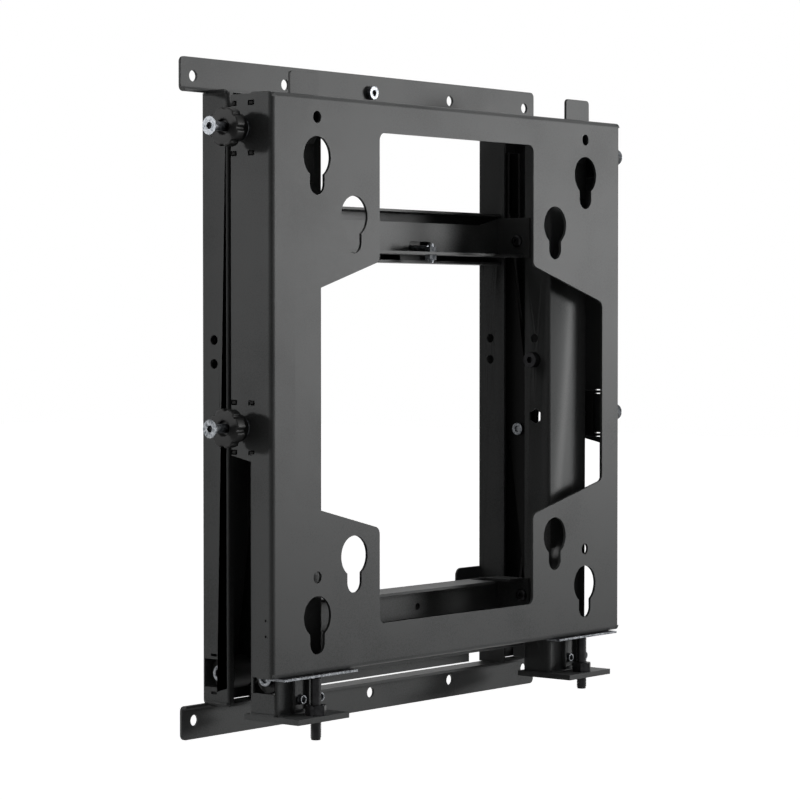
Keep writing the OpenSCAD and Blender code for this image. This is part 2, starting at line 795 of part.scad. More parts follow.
// A guide tab: welded low on the upright's web, joggled forward and up through the plate's fold
module guide_tab(side) {
    f = carriage_front;
    g = guide_front;
    j = guide_joggle;
    color(c_steel) on_side(side) {
        side_sheet([[f, guide_foot], [f + sheet, guide_foot], [f + sheet, j[0]], [g, j[1]],
                    [g, guide_top - 4], [g - sheet, guide_top - 4],
                    [g - sheet, j[1] + guide_back_rise], [f, j[0] + guide_back_rise]],
                   guide_from, guide_to);
        slab(guide_from + 4, guide_to - 4, g - sheet, g, guide_top - 4, guide_top);
        for (x = [guide_from + 4, guide_to - 4]) bar_d(x, g - sheet, g, guide_top - 4, 8);
    }
}
module left_guide_tab() { guide_tab(-1); }
module right_guide_tab() { guide_tab(1); }

// FEET

// A foot plate, welded under a carriage upright
module foot_plate(side) {
    color(c_steel) on_side(side) difference() {
        slab(foot_in, foot_in + foot_w, foot_back, foot_front, foot_top - foot_t, foot_top);
        bar_z(jack_x, jack_depth, foot_top - foot_t - 1, foot_top + 1, jack_d + 1);
    }
}
module left_foot_plate() { foot_plate(-1); }
module right_foot_plate() { foot_plate(1); }

// A low U of strip stands on the front of each upright's foot, round the inner lock screw
module foot_brackets() {
    x = bracket_x;
    z = bracket_z;
    color(c_dark) both_sides() difference() {
        union() {
            slab(x[0], x[1], carriage_front, carriage_front + bracket_d, z[0] + bracket_r, z[1]);
            slab(x[0] + bracket_r, x[1] - bracket_r, carriage_front, carriage_front + bracket_d,
                 z[0], z[0] + bracket_r);
            for (c = [x[0] + bracket_r, x[1] - bracket_r])
                bar_d(c, carriage_front, carriage_front + bracket_d, z[0] + bracket_r,
                      2 * bracket_r);
        }
        slab(x[0] + sheet, x[1] - sheet, carriage_front - 1, carriage_front + bracket_d + 1,
             z[0] + sheet, z[1] + 1);
    }
}

module jack_nuts() {
    color(c_dark) both_sides() difference() {
        hex_z(jack_x, jack_depth, foot_top, foot_top + jack_nut_h, jack_nut_af);
        bar_z(jack_x, jack_depth, foot_top - 1, foot_top + jack_nut_h + 1,
              jack_d + 2 * run_fit);
    }
}

// Set screws through the foot of each upright's web
module foot_lock_screws() {
    color(c_zinc) for (side = [-1, 1]) on_side(side) for (x = lock_x(side)) difference() {
        bar_d(x, carriage_front - sheet, lock_front, lock_z, lock_d);
        hex_d(x, lock_front - 3, lock_front + 1, lock_z, 5);
    }
}

// A support plate, which turns freely on the spigot of its jack screw
module support_plate(side) {
    color(c_zinc) on_side(side) difference() {
        slab(support_in, support_in + support_w, support_back, support_front,
             support_low, support_top);
        bar_z(jack_x, jack_depth, support_low - 1, support_top + 1, spigot_d + 2 * run_fit);
    }
}
module left_support_plate() { support_plate(-1); }
module right_support_plate() { support_plate(1); }

// A jack screw: threaded shank, with a spigot that turns in the support plate
module jack_screw(side) {
    jack_low = foot_top - foot_t - (side > 0 ? jack_past[1] : jack_past[0]);
    color(c_knob) on_side(side) difference() {
        union() {
            bar_z(jack_x, jack_depth, jack_low + 0.8, support_low - slide_gap, jack_d);
            bar_z(jack_x, jack_depth, jack_low, jack_low + 0.8, jack_d - 1.6);
            bar_z(jack_x, jack_depth, support_low - slide_gap, support_top - 0.4, spigot_d);
        }
        hex_z(jack_x, jack_depth, jack_low - 1, jack_low + 4, 5);
    }
}
module left_jack_screw() { jack_screw(-1); }
module right_jack_screw() { jack_screw(1); }

// SCREEN PLATE

// A keyhole: slot arc below, round above
module keyhole(x, z) {
    bar_d(x, plate_back - 1, plate_front + 1, z, 2 * key_slot_r);
    bar_d(x, plate_back - 1, plate_front + 1, z + key_rise, 2 * key_round_r);
    slab(x - key_slot_r, x + key_slot_r, plate_back - 1, plate_front + 1, z, z + key_rise);
}
opening_step = [[133.8, 99.4], [-76, -104]];
function opening_side(s) = [[s * opening_narrow, opening_step[0][0]],
                            [s * opening_wide, opening_step[0][1]],
                            [s * opening_wide, opening_step[1][0]],
                            [s * opening_narrow, opening_step[1][1]],
                            [s * opening_narrow, -opening_bottom]];
opening_outline = rounded([for (p = concat(
        [[opening_narrow, opening_top]], opening_side(1),
        [for (i = [4:-1:0]) opening_side(-1)[i]], [[-opening_narrow, opening_top]]))
        [p[0], vesa_z + p[1]]], opening_r);

// One fold of the plate seen along its bend: an outer and an inner quarter round
module fold_profile(length, depth) {
    r = bend_r;
    linear_extrude(length) {
        difference() {
            translate([-r, 0]) circle(r);
            translate([-r, 0]) circle(r - sheet);
            translate([-2 * r - 1, -r - 1]) square([r + 1, 2 * r + 2]);
            translate([-2 * r, 0]) square([2 * r + 1, r + 1]);
        }
        translate([-sheet, 0]) square([sheet, depth - r]);
    }
}
module side_fold(z0, z1, depth) {
    both_sides() translate([plate_half, bend_r - plate_front, z0]) fold_profile(z1 - z0, depth);
}
module edge_fold_at(z, up, depth) {
    span = 2 * (plate_half - relief);
    translate([-span / 2, bend_r - plate_front, z]) mirror([0, 0, up ? 0 : 1])
        rotate([90, 0, 90]) mirror([1, 0, 0]) rotate([0, 0, 90])
        fold_profile(span, depth);
}
module front_plate() {
    color(c_steel) difference() {
        union() {
            slab(-plate_half + bend_r, plate_half - bend_r, plate_back, plate_front,
                 plate_low + bend_r, plate_top - bend_r);
            side_fold(plate_low + relief, plate_top - relief, side_shallow);
            side_fold(step_z - step_drop, plate_top - relief, side_deep);
            edge_fold_at(plate_top, true, top_fold);
            edge_fold_at(plate_low, false, bottom_fold);
        }
        front_sheet(opening_outline, plate_back - 1, plate_front + 1);
        for (sx = [-1, 1], sz = [-1, 1]) {
            keyhole(sx * vesa_outer / 2, vesa_z + sz * vesa_outer / 2);
            keyhole(sx * vesa_inner / 2, vesa_z + sz * vesa_inner / 2);
            bar_d(sx * vesa_outer / 2, plate_back - 1, plate_front + 1,
                  vesa_z + sz * vesa_outer / 2 + small_hole_rise, small_hole_d);
        }
        both_sides() {
            // the guide tab rises through the top fold
            slab(guide_from - guide_slot_play, guide_to + guide_slot_play,
                 guide_front - sheet - 2, guide_front + 2, plate_top - sheet - 1, plate_top + 1);
            for (z = adj_screw_z) {
                bar_x(plate_half - sheet - 1, plate_half + 1, side_screw_depth, z, screw_d + 1);
                for (sd = [-1, 1], sz = [-1, 1])
                    slab(plate_half - sheet - 1, plate_half + 1,
                         side_screw_depth + sd * tab_half_d - tab_slot[0] / 2,
                         side_screw_depth + sd * tab_half_d + tab_slot[0] / 2,
                         z + sz * tab_half_z - tab_slot[1] / 2,
                         z + sz * tab_half_z + tab_slot[1] / 2);
            }
            // the step is cut at a slant, and two small marks are lanced near the foot
            side_sheet([[plate_front - side_deep - 1, step_z - step_drop - 1],
                        [plate_front - side_deep - 1, step_z],
                        [plate_front - side_shallow, step_z - step_drop],
                        [plate_front - side_shallow, step_z - step_drop - 1]],
                       plate_half - sheet - 1, plate_half + 1);
            for (up = foot_marks)
                slab(plate_half - 1, plate_half + 1, plate_front - 8.6, plate_front - 5,
                     plate_low + up - 1, plate_low + up + 1);
        }
    }
}

// SIDE ADJUSTERS

// An inner bracket: web, two flanges, and tabs that lock into the plate's side fold
module adjuster_bracket(z) {
    d = side_screw_depth;
    back = plate_half - sheet;
    difference() {
        slab(adj_web, adj_web + sheet, d - adj_half, d + adj_half, z - tab_half_z - sheet / 2,
             z + tab_half_z + sheet / 2);
        bar_x(adj_web - 1, adj_web + sheet + 1, d, z, screw_d + 1);
    }
    for (s = [-1, 1]) {
        zc = z + s * tab_half_z;
        slab(adj_web, back, d - adj_half, d + adj_half, zc - sheet / 2, zc + sheet / 2);
        for (t = [-1, 1])
            slab(back, plate_half, d + t * tab_half_d - tab_w / 2, d + t * tab_half_d + tab_w / 2,
                 zc - sheet / 2, zc + sheet / 2);
    }
}
module adjuster_brackets() {
    color(c_dark) both_sides() for (z = adj_screw_z) adjuster_bracket(z);
}
module captive_nuts() {
    color(c_zinc) both_sides() for (z = adj_screw_z) difference() {
        hex_x(adj_web + sheet, adj_web + sheet + nut_h, side_screw_depth, z, nut_af);
        bar_x(adj_web, adj_web + sheet + nut_h + 1, side_screw_depth, z, screw_d + 2 * run_fit);
    }
}
module knob_washers() {
    color(c_zinc) both_sides() for (z = adj_screw_z) difference() {
        bar_x(plate_half, plate_half + washer_h, side_screw_depth, z, washer_d);
        bar_x(plate_half - 1, plate_half + washer_h + 1, side_screw_depth, z, screw_d + 1);
    }
}

// A side screw: countersunk socket head outside, tip on the carriage upright
module side_screw(side, z) {
    head = side_screw_end;
    color(c_zinc) on_side(side) difference() {
        union() {
            bar_x(tip_x + 1, head - head_rim, side_screw_depth, z, screw_d);
            bar_x(tip_x, tip_x + 1, side_screw_depth, z, screw_d - 2);
            translate([head - head_rim - head_cone, -side_screw_depth, z]) rotate([0, 90, 0])
                cylinder(d1 = screw_d, d2 = head_d, h = head_cone);
            bar_x(head - head_rim, head, side_screw_depth, z, head_d);
        }
        hex_x(head - 4, head + 1, side_screw_depth, z, 5);
    }
}
module upper_left_side_screw() { side_screw(-1, side_screw_top); }
module upper_right_side_screw() { side_screw(1, side_screw_top); }
module lower_left_side_screw() { side_screw(-1, side_screw_low); }
module lower_right_side_screw() { side_screw(1, side_screw_low); }

// A star knob that locks a side screw: neck, skirt and a thick head with lobes
module knob(side, z) {
    lobe_d = PI * knob_d / knob_lobes * 0.62;
    ring_r = (knob_d - lobe_d) / 2;
    d = side_screw_depth;
    color(c_knob) on_side(side) difference() {
        union() {
            bar_x(knob_rear, knob_neck[1], d, z, knob_neck[0]);
            bar_x(knob_neck[1], knob_skirt[1], d, z, knob_skirt[0]);
            bar_x(knob_skirt[1], knob_front, d, z, 2 * ring_r + 1.2);
            for (i = [0:knob_lobes - 1]) let (a = (i + 0.5) * 360 / knob_lobes)
                bar_x(knob_skirt[1], knob_front, d + ring_r * cos(a), z + ring_r * sin(a), lobe_d);
        }
        bar_x(knob_rear - 1, knob_front + 1, d, z, screw_d + 2 * run_fit);
        bar_x(knob_front - knob_recess[1], knob_front + 1, d, z, knob_recess[0]);
    }
}
module upper_left_knob() { knob(-1, side_screw_top); }
module upper_right_knob() { knob(1, side_screw_top); }
module lower_left_knob() { knob(-1, side_screw_low); }
module lower_right_knob() { knob(1, side_screw_low); }

top_wall_rail();
bottom_wall_rail();
left_wall_channel();
right_wall_channel();
upper_wall_crossbar();
lower_wall_crossbar();
wall_pivot_brackets();
wall_pivot_pins();
hanging_screw();
latch_case();
latch_plunger();
latch_spring();
left_long_arm();
right_long_arm();
left_centre_pivot();
right_centre_pivot();
left_front_roller_shaft();
right_front_roller_shaft();
left_front_roller();
right_front_roller();
left_lift_arm();
right_lift_arm();
left_wall_roller_shaft();
right_wall_roller_shaft();
left_wall_roller();
right_wall_roller();
left_carriage_channel();
right_carriage_channel();
upper_carriage_crossbar();
lower_carriage_crossbar();
bottom_carriage_crossbar();
crossbar_bolts();
upright_bolts();
carriage_pivot_brackets();
carriage_pivot_pins();
striker_bolt();
striker_nuts();
left_guide_tab();
right_guide_tab();
left_foot_plate();
right_foot_plate();
foot_brackets();
jack_nuts();
foot_lock_screws();
left_support_plate();
right_support_plate();
left_jack_screw();
right_jack_screw();
front_plate();
adjuster_brackets();
captive_nuts();
knob_washers();
upper_left_side_screw();
upper_right_side_screw();
lower_left_side_screw();
lower_right_side_screw();
upper_left_knob();
upper_right_knob();
lower_left_knob();
lower_right_knob();
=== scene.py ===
# %% [markdown]
# Pop-out wall mount for a video wall, dressed for a photograph
#
# The mount is folded sheet steel with a black powder coat, held together by zinc plated screws.
# The CAD model already has every piece at its real size and on its real joint. This script gives
# each surface its finish, and remakes the pieces that a camera would catch as too plain: the
# threaded screws, the star knobs, the nuts, the sharp sheet edges and the weld seams.

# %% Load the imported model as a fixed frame
import json
import math

import bmesh
import bpy
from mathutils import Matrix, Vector

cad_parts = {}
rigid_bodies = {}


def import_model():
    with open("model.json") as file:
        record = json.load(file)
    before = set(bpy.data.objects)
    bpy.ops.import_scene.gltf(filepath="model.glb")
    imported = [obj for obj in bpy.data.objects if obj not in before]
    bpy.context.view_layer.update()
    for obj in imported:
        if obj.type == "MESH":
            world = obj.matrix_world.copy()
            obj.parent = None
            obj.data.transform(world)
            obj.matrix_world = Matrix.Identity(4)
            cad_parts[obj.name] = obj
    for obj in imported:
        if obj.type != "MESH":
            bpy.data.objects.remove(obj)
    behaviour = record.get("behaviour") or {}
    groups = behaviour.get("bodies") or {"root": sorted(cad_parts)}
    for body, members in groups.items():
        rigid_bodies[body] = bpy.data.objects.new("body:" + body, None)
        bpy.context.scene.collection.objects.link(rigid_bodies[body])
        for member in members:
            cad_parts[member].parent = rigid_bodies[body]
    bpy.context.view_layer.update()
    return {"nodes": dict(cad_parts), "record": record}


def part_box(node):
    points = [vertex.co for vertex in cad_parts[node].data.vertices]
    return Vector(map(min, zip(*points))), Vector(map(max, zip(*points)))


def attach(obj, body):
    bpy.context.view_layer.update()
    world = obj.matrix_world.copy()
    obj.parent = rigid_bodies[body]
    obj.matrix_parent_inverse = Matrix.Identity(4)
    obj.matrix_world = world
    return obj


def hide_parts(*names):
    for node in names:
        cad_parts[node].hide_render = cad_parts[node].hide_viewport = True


MM = 0.001
for start_object in list(bpy.data.objects):
    bpy.data.objects.remove(start_object)
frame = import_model()
nodes = frame["nodes"]

# %% [markdown]
# Colours are written as a screen shows them, in sRGB hex, because that is how a colour is read
# from a photograph. Blender's shaders work in linear light, so one function does the conversion.
# Shader nodes could be placed in the node editor by hand. Here a second small function adds one
# with its settings and links, so that a material reads from top to bottom like a recipe.


# %% A colour function and a node function
def linear(hex_colour):
    """Turns an sRGB hex value into the linear RGBA that a shader socket takes."""
    channels = [int(hex_colour[i : i + 2], 16) / 255 for i in (1, 3, 5)]
    return [c / 12.92 if c <= 0.04045 else ((c + 0.055) / 1.055) ** 2.4 for c in channels] + [1.0]


def feed(owner, node, links):
    """Links sockets to the inputs of a node that is already there."""
    for key, source in links.items():
        owner.node_tree.links.new(source, node.inputs[key])


def add(owner, kind, settings=None, links=None):
    """Adds one node. Settings are attributes, socket values or the two stops of a ramp."""
    node = owner.node_tree.nodes.new(kind)
    for key, value in (settings or {}).items():
        if key == "stops":
            for element, (position, colour) in zip(node.color_ramp.elements, value):
                element.position = position
                element.color = linear(colour)
        elif isinstance(key, int) or key in node.inputs:
            node.inputs[key].default_value = value
        else:
            setattr(node, key, value)
    feed(owner, node, links or {})
    return node


def start_material(name):
    """A new material with its Principled shader and its Object coordinates."""
    material = bpy.data.materials.new(name)
    material.use_nodes = True
    shader = material.node_tree.nodes["Principled BSDF"]
    place = add(material, "ShaderNodeTexCoord").outputs["Object"]
    return material, shader, place


# %% [markdown]
# Powder coat is a dry paint that is sprayed on as a charged powder and baked. The resin flows
# just enough to close, so the skin keeps a fine grit and, under it, a slow waviness called
# orange peel. A photograph of a painted sheet could be wrapped round each piece, but it would
# show seams at the folds, and noise on Object coordinates has none. Two noises make the bump: one
# at grit size and one at orange peel size. The grit and a third, much larger noise shade the colour.
# The grit is really about 0.3 mm. It is drawn at 0.9 mm so that it shows in the render.


# %% Textured black powder coat on steel
def powder_coat(name, dark, light, rough):
    grit = 0.9 * MM
    peel_wave = 7 * MM
    shade_wave = 90 * MM
    relief = 0.1 * MM
    material, shader, place = start_material(name)
    fine = add(material, "ShaderNodeTexNoise",
               {"Scale": 1 / grit, "Detail": 3.0, "Roughness": 0.6}, {"Vector": place})
    peel = add(material, "ShaderNodeTexNoise",
               {"Scale": 1 / peel_wave, "Detail": 1.0}, {"Vector": place})
    cloud = add(material, "ShaderNodeTexNoise",
                {"Scale": 1 / shade_wave, "Detail": 2.0}, {"Vector": place})
    tone = add(material, "ShaderNodeMath", {"operation": "ADD"},
               {0: fine.outputs["Fac"], 1: cloud.outputs["Fac"]})
    colour = add(material, "ShaderNodeValToRGB", {"stops": [(0.75, dark), (1.0, light)]},
                 {"Fac": tone.outputs["Value"]})
    height = add(material, "ShaderNodeMath", {"operation": "MULTIPLY_ADD", 1: 0.5},
                 {0: peel.outputs["Fac"], 2: fine.outputs["Fac"]})
    bump = add(material, "ShaderNodeBump", {"Strength": 0.55, "Distance": relief},
               {"Height": height.outputs["Value"]})
    gloss = add(material, "ShaderNodeMapRange",
                {"From Min": 0.3, "From Max": 0.7, "To Min": rough - 0.05, "To Max": rough + 0.07},
                {"Value": fine.outputs["Fac"]})
    feed(material, shader, {"Base Color": colour.outputs["Color"],
                            "Normal": bump.outputs["Normal"],
                            "Roughness": gloss.outputs["Result"]})
    shader.inputs["Specular IOR Level"].default_value = 0.1
    return material


black_coat = powder_coat("textured black powder coat", "#484949", "#595a5a", 0.44)
# The second coat is the same black powder coat, made darker and duller as painted shade for the
# parts inside the uprights.
painted_shade_coat = powder_coat("black powder coat darkened as painted shade inside", "#0f0f0f", "#181818", 0.6)

# %% [markdown]
# Zinc plate is a thin electroplated layer on the screws and the support plates. It is a metal, a
# little blue, with a soft cloudiness from the plating bath and a fine grain from the steel under
# it. One even grey would look like plastic, so the clouds change the roughness as much as the
# colour. The jack screws and the bolts have the same plate with a black passivation, and the
# latch spring is drawn wire with a film of oil, which the same function can make.


# %% Zinc plate and spring wire
def zinc_plate(name, dark, light, rough, cloud_size=6.0):
    grain = 0.5 * MM
    relief = 0.02 * MM
    material, shader, place = start_material(name)
    cloud = add(material, "ShaderNodeTexNoise",
                {"Scale": 1 / (cloud_size * MM), "Detail": 4.0, "Roughness": 0.65},
                {"Vector": place})
    fine = add(material, "ShaderNodeTexNoise", {"Scale": 1 / grain, "Detail": 2.0},
               {"Vector": place})
    colour = add(material, "ShaderNodeValToRGB", {"stops": [(0.35, dark), (0.65, light)]},
                 {"Fac": cloud.outputs["Fac"]})
    gloss = add(material, "ShaderNodeMapRange",
                {"From Min": 0.3, "From Max": 0.7, "To Min": rough - 0.06, "To Max": rough + 0.1},
                {"Value": cloud.outputs["Fac"]})
    bump = add(material, "ShaderNodeBump", {"Strength": 0.25, "Distance": relief},
               {"Height": fine.outputs["Fac"]})
    feed(material, shader, {"Base Color": colour.outputs["Color"],
                            "Roughness": gloss.outputs["Result"],
                            "Normal": bump.outputs["Normal"]})
    shader.inputs["Metallic"].default_value = 1.0
    return material


bright_zinc = zinc_plate("bright zinc plate", "#34373a", "#77797c", 0.36, 2.5)
black_zinc = zinc_plate("black zinc plate", "#1c1c1d", "#2b2b2c", 0.42)
spring_wire = zinc_plate("oiled spring wire", "#6f7073", "#8c8d90", 0.3, 2.0)

# %% [markdown]
# The star knobs and the latch case are moulded glass-filled nylon. The mould is spark eroded, so
# the skin has an even matt grain with a low sheen. The rollers are turned from a plain nylon. The
# grain is really about 0.1 mm. It is drawn at 0.7 mm so that it shows in the render.


# %% Moulded and turned black nylon
def black_nylon(name, dark, light, rough):
    grain = 0.7 * MM
    relief = 0.04 * MM
    material, shader, place = start_material(name)
    fine = add(material, "ShaderNodeTexNoise", {"Scale": 1 / grain, "Detail": 2.0},
               {"Vector": place})
    colour = add(material, "ShaderNodeValToRGB", {"stops": [(0.3, dark), (0.7, light)]},
                 {"Fac": fine.outputs["Fac"]})
    bump = add(material, "ShaderNodeBump", {"Strength": 0.4, "Distance": relief},
               {"Height": fine.outputs["Fac"]})
    feed(material, shader, {"Base Color": colour.outputs["Color"],
                            "Normal": bump.outputs["Normal"]})
    shader.inputs["Roughness"].default_value = rough
    shader.inputs["IOR"].default_value = 1.53
    shader.inputs["Specular IOR Level"].default_value = 0.18
    return material


knob_nylon = black_nylon("moulded black nylon", "#0c0c0c", "#141414", 0.5)
roller_nylon = black_nylon("turned black nylon", "#0a0a0a", "#101010", 0.6)

# %% [markdown]
# Every CAD node names its finish, so the finishes can be dealt out from that list instead of one
# by one. Only the arms and brackets inside the uprights are taken out of that order and get a
# darker and duller coat. This is painted shade, standing in for the shade that falls on them
# inside the uprights, where they look almost black.

# %% Give every CAD node its finish
finishes = {"black_steel": black_coat, "zinc_steel": bright_zinc, "spring_steel": spring_wire,
            "black_zinc": black_zinc, "black_plastic": knob_nylon, "nylon": roller_nylon}
slot_of = {part["node"]: part["material_slot"] for part in frame["record"]["subparts"]}
inside = ("wall_pivot_brackets", "carriage_pivot_brackets", "left_long_arm", "right_long_arm",
          "left_lift_arm", "right_lift_arm", "adjuster_brackets")
for name, piece in nodes.items():
    piece.data.materials.clear()
    # Parts inside the uprights get the coat with painted shade.
    piece.data.materials.append(painted_shade_coat if name in inside else finishes[slot_of[name]])
print("finished", len(nodes), "nodes,", len(inside), "of them inside")

# %% [markdown]
# Every piece below is made the way a hand would make it: a primitive is added, shaped in edit
# mode and finished with modifiers. A few small helpers keep those steps short. Faces and edges
# are picked in code by their place or normal, because there is no mouse. Round pieces are all
# made standing on the Z axis, where they are easy to think about, and are turned into their
# place at the end.

# %% Helpers for shaping a piece
# Two angles between faces in radians, and the distance in metres at which points are one point.
SHARP = 1.2
SQUARE = 1.4
DOUBLE = 1e-6
print("an edge is sharp above", round(math.degrees(SHARP)), "degrees")


def only(*objects):
    """Selects these objects and nothing else, and makes the first one active."""
    bpy.ops.object.select_all(action="DESELECT")
    for piece in objects:
        piece.select_set(True)
    bpy.context.view_layer.objects.active = objects[0]


def pick(kind, test):
    """In edit mode, selects the faces or edges of the active mesh that pass the test."""
    bpy.ops.mesh.select_mode(type={"faces": "FACE", "edges": "EDGE"}[kind])
    bpy.ops.mesh.select_all(action="DESELECT")
    mesh = bmesh.from_edit_mesh(bpy.context.object.data)
    for element in getattr(mesh, kind):
        if test(element):
            element.select_set(True)
    mesh.select_flush_mode()
    bmesh.update_edit_mesh(bpy.context.object.data)


def turned_to(face):
    """How far round the Z axis a face looks, in degrees."""
    return (math.degrees(math.atan2(face.normal.y, face.normal.x)) + 360) % 360


def apply(piece, kind, **settings):
    """Adds a modifier, sets it and applies it."""
    only(piece)
    modifier = piece.modifiers.new(kind.lower(), kind)
    for key, value in settings.items():
        setattr(modifier, key, value)
    bpy.ops.object.modifier_apply(modifier=modifier.name)


def cut(piece, tool, operation="DIFFERENCE"):
    """A Boolean with a tool that is thrown away afterwards."""
    apply(piece, "BOOLEAN", operation=operation, object=tool, solver="EXACT")
    bpy.data.objects.remove(tool)


def rod(radius, low, high, sides=32, top=None):
    """A cylinder or, with a top radius, a cone that stands on the Z axis from low to high."""
    place = (0, 0, (low + high) / 2 * MM)
    if top is None:
        bpy.ops.mesh.primitive_cylinder_add(vertices=sides, radius=radius * MM,
                                            depth=(high - low) * MM, location=place)
    else:
        bpy.ops.mesh.primitive_cone_add(vertices=sides, radius1=radius * MM, radius2=top * MM,
                                        depth=(high - low) * MM, location=place)
    bpy.ops.object.transform_apply(location=True, rotation=False, scale=False)
    return bpy.context.object


def corner_radius(across):
    """The radius over the corners of a hexagon that is so wide across its flats."""
    return across / 2 / math.cos(math.radians(30))


def hexagon_bar(across, low, high):
    """A six-sided bar, which is a nut's blank and also the tool that cuts a hexagon socket."""
    return rod(corner_radius(across), low, high, 6)


def soften(piece, width, segments=2, angle=35):
    """Rounds every edge sharper than the angle, and shades smooth without bending the flats."""
    apply(piece, "BEVEL", width=width * MM, segments=segments, limit_method="ANGLE",
          angle_limit=math.radians(angle))
    only(piece)
    bpy.ops.object.shade_smooth_by_angle(angle=math.radians(40))
    apply(piece, "WEIGHTED_NORMAL", keep_sharp=True, weight=80)
    return piece


def joined(pieces):
    """Makes one object of several."""
    only(*pieces)
    if len(pieces) > 1:
        bpy.ops.object.join()
    return bpy.context.object


# %% [markdown]
# A finished piece has to leave the Z axis and take the place of a CAD node. Its turn and its
# place could be typed in for each piece, but the frame already knows them. So a piece that stands
# up, one that points to the front and one that points away from the middle of the mount each get
# a small function that reads the box of the node.


# %% Helpers for putting a piece in its place
def upward(low, high):
    """Turn and place of a piece that keeps standing, from the box of its CAD solid."""
    centre = (low + high) / 2
    return (0, 0, 0), (centre.x, centre.y, low.z)


def forward(low, high):
    """The same for a piece whose top points to the front."""
    centre = (low + high) / 2
    return (math.pi / 2, 0, 0), (centre.x, high.y, centre.z)


def outward(low, high):
    """The same for a piece whose top points to the left or right, away from the middle."""
    centre = (low + high) / 2
    if centre.x > 0:
        return (0, math.pi / 2, 0), (low.x, centre.y, centre.z)
    return (0, -math.pi / 2, 0), (high.x, centre.y, centre.z)


def copies(piece, places):
    """Copies of a piece, each with its own mesh, turned and then moved into place."""
    made = []
    for turn, place in places:
        twin = piece.copy()
        twin.data = piece.data.copy()
        bpy.context.collection.objects.link(twin)
        twin.rotation_euler = turn
        twin.location = place
        only(twin)
        bpy.ops.object.transform_apply(location=True, rotation=True, scale=True)
        made.append(twin)
    bpy.data.objects.remove(piece)
    return made


body_of_node = {node: body for body, group in frame["record"]["behaviour"]["bodies"].items()
                for node in group}


def stands_for(piece, node, material):
    """Names and finishes a piece, and puts it in the place of its CAD node."""
    piece.name = node + "_made"
    piece.data.materials.clear()
    piece.data.materials.append(material)
    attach(piece, body_of_node[node])
    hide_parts(node)


def one_each(piece, names, direction, material):
    """Puts a copy of one made piece in the place of each of these CAD nodes."""
    places = [direction(*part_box(node)) for node in names]
    for node, twin in zip(names, copies(piece, places)):
        stands_for(twin, node, material)


def solids_of(node):
    """The low and the high corner of each solid of a CAD node, found from its mesh."""
    probe = nodes[node].copy()
    probe.data = nodes[node].data.copy()
    bpy.context.collection.objects.link(probe)
    only(probe)
    bpy.ops.object.mode_set(mode="EDIT")
    bpy.ops.mesh.select_all(action="SELECT")
    bpy.ops.mesh.remove_doubles(threshold=DOUBLE)
    bpy.ops.mesh.separate(type="LOOSE")
    bpy.ops.object.mode_set(mode="OBJECT")
    found = []
    for solid in list(bpy.context.selected_objects):
        corners = [solid.matrix_world @ v.co for v in solid.data.vertices]
        low = Vector(min(c[i] for c in corners) for i in range(3))
        high = Vector(max(c[i] for c in corners) for i in range(3))
        found.append((low, high))
        bpy.data.objects.remove(solid)
    return sorted(found, key=lambda box: tuple(round(c, 5) for c in box[0]))


def first_size(node):
    """Width, depth and height of the first solid of a CAD node, in millimetres."""
    return [(high - low) / MM for low, high in zip(*solids_of(node)[0])]


def fitted(piece, node, direction, material):
    """Puts a copy of one made piece at each solid of a CAD node, as one piece."""
    places = [direction(low, high) for low, high in solids_of(node)]
    stands_for(joined(copies(piece, places)), node, material)


# %% [markdown]
# A screw thread is one tooth profile that climbs as it turns, so the Screw modifier makes it from
# three points. A picture of a thread would be lighter, but its edge against the white ground
# would be straight. Only the crest and the root matter to the eye, so a tooth is two slopes.


# %% A threaded rod
def threaded(radius, low, high, pitch=1.25, steps=20):
    """A thread from low to high on the Z axis, closed at both ends. M8 has the default pitch."""
    tooth_height = 0.61 * pitch
    end_gap = 0.01
    turns = int((high - low) / pitch) - 1
    root = radius - tooth_height
    bpy.ops.mesh.primitive_plane_add(size=1 * MM)
    shank = bpy.context.object
    bpy.ops.object.mode_set(mode="EDIT")
    mesh = bmesh.from_edit_mesh(shank.data)
    bmesh.ops.delete(mesh, geom=list(mesh.verts), context="VERTS")
    points = [mesh.verts.new((r * MM, 0, (low + end_gap + z * pitch) * MM))
              for r, z in ((root, 0.0), (radius, 0.5), (root, 1.0))]
    for a, b in zip(points, points[1:]):
        mesh.edges.new((a, b))
    bmesh.update_edit_mesh(shank.data)
    bpy.ops.object.mode_set(mode="OBJECT")
    apply(shank, "SCREW", axis="Z", screw_offset=pitch * MM, iterations=turns, steps=steps,
          render_steps=steps, use_merge_vertices=True, merge_threshold=DOUBLE)
    bpy.ops.object.mode_set(mode="EDIT")
    bpy.ops.mesh.select_all(action="SELECT")
    bpy.ops.mesh.remove_doubles(threshold=DOUBLE)
    bpy.ops.mesh.select_mode(type="EDGE")
    bpy.ops.mesh.select_all(action="DESELECT")
    bpy.ops.mesh.select_non_manifold(extend=False, use_wire=False, use_boundary=True,
                                     use_multi_face=False, use_non_contiguous=False,
                                     use_verts=False)
    bpy.ops.mesh.edge_face_add()
    bpy.ops.mesh.select_all(action="SELECT")
    bpy.ops.mesh.normals_make_consistent(inside=False)
    bpy.ops.object.mode_set(mode="OBJECT")
    return shank


# %% [markdown]
# The side screws are M8 countersunk socket screws. Their tips press on the uprights of the
# carriage, and the heads stand out of the knobs, where the photograph shows a bright disc with a
# dark hexagon socket. A head could be spun from its outline. A cone with a short rim pulled out
# of its top face gets there in two steps, and the socket is cut with a six-sided bar.

